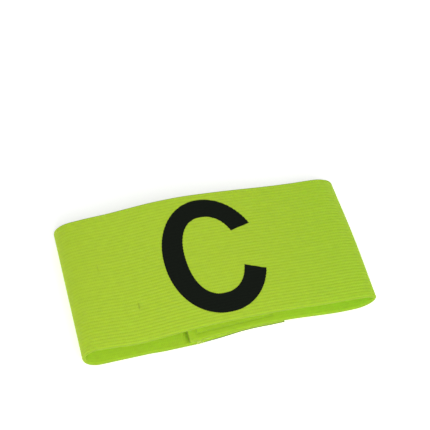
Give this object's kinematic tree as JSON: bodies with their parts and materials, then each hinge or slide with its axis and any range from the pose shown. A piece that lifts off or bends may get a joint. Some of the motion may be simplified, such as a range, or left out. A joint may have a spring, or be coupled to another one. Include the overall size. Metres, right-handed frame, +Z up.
{
  "type": "captain armband",
  "caption": "Wide lime green ribbed elastic armband closed into a loop by a hook-and-loop overlap, laid flat, with a black captain's letter on its upper ply.",
  "frame": {"origin": "centre of the laid band's footprint, on the surface that it lies on", "axes": "+X along the laid band, with the outer cut end pointing to +X underneath, +Y from the front edge to the back edge, +Z up"},
  "size_m": [0.15, 0.0766, 0.0217],
  "materials": {
    "webbing": "lime green ribbed woven elastic, matt, with a fine rib every 1.7 mm",
    "tape": "pale lime hook-and-loop tape",
    "print": "black flock-like print that follows the ribs, matt"
  },
  "bodies": {
    "root": {"elastic_band": "webbing", "closure_tape": "tape", "captain_letter": "print"}
  },
  "joints": []
}
